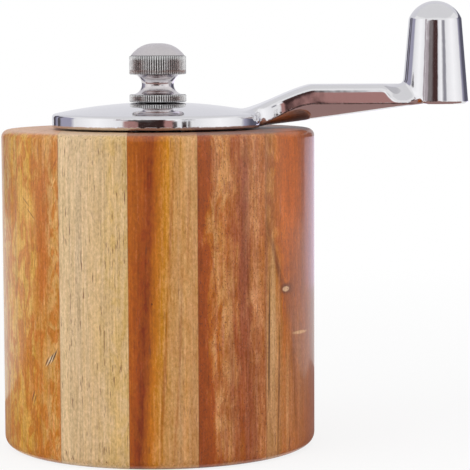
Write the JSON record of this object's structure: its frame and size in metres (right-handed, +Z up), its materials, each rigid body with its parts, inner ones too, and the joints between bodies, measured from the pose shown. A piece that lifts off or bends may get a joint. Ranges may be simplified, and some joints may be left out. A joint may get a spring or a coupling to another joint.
{
  "type": "hand crank pepper mill",
  "caption": "Squat pepper mill: glued hardwood barrel, chromed lid and gooseneck crank cast in one, knurled thumb nut and a ceramic cone grinder in the base.",
  "frame": {"origin": "centre of the standing ring at the base, on the crank's axis", "axes": "+Z up along the crank's axis, +X along the crank arm at rest, +Y away from the picture's camera"},
  "size_m": [0.1048, 0.07, 0.0992],
  "materials": {
    "wood_orange": "satin lacquered acacia, orange brown",
    "wood_pale": "satin lacquered acacia sapwood, pale tan",
    "wood_dark": "satin lacquered acacia heartwood, dark red brown",
    "wood_red": "satin lacquered acacia, red brown",
    "wood_brown": "satin lacquered acacia, brown",
    "chrome": "bright chrome plate on a zinc casting",
    "nut_plate": "satin nickel-grey plate, knurled",
    "steel": "plain steel",
    "satin_steel": "satin stainless steel",
    "black_nylon": "black moulded nylon",
    "white_nylon": "white nylon",
    "ceramic": "white matt ceramic"
  },
  "bodies": {
    "barrel": {"strip_left_outer": "wood_orange", "strip_left": "wood_pale", "strip_middle": "wood_dark", "strip_right": "wood_red", "strip_right_outer": "wood_brown", "bridge_bar": "steel", "bridge_screws": "satin_steel", "shaft_bush": "white_nylon", "grinder_housing": "black_nylon", "stator_burr": "ceramic", "base_plate": "satin_steel", "base_screws": "steel"},
    "turning_seat": {"spring_seat": "steel", "grinder_spring": "satin_steel"},
    "drive": {"drive_shaft": "steel", "rotor_hub": "black_nylon", "rotor_burr": "ceramic", "end_washer": "steel", "retaining_clip": "steel"},
    "crank": {"crank_handle": "chrome"},
    "nut": {"thumb_nut": "nut_plate"}
  },
  "joints": [
    {"name": "crank_turn", "type": "hinge", "parent": "barrel", "child": "turning_seat", "pos_m": [0, 0, 0.0286], "axis": [0, 0, 1], "continuous": true},
    {"name": "grind_adjust", "type": "slide", "parent": "turning_seat", "child": "drive", "axis": [0, 0, 1], "range_m": [-0.0012, 0.0008], "deforming": ["grinder_spring"]},
    {"name": "crank_lift", "type": "slide", "parent": "turning_seat", "child": "crank", "axis": [0, 0, 1], "range_m": [0, 0.045]},
    {"name": "nut_turn", "type": "hinge", "parent": "crank", "child": "nut", "pos_m": [0, 0, 0.082], "axis": [0, 0, 1], "range_deg": [-360, 540]}
  ],
  "couplings": [
    {"joint": "nut_turn", "follows": "grind_adjust", "rad_per_m": -7854}
  ]
}
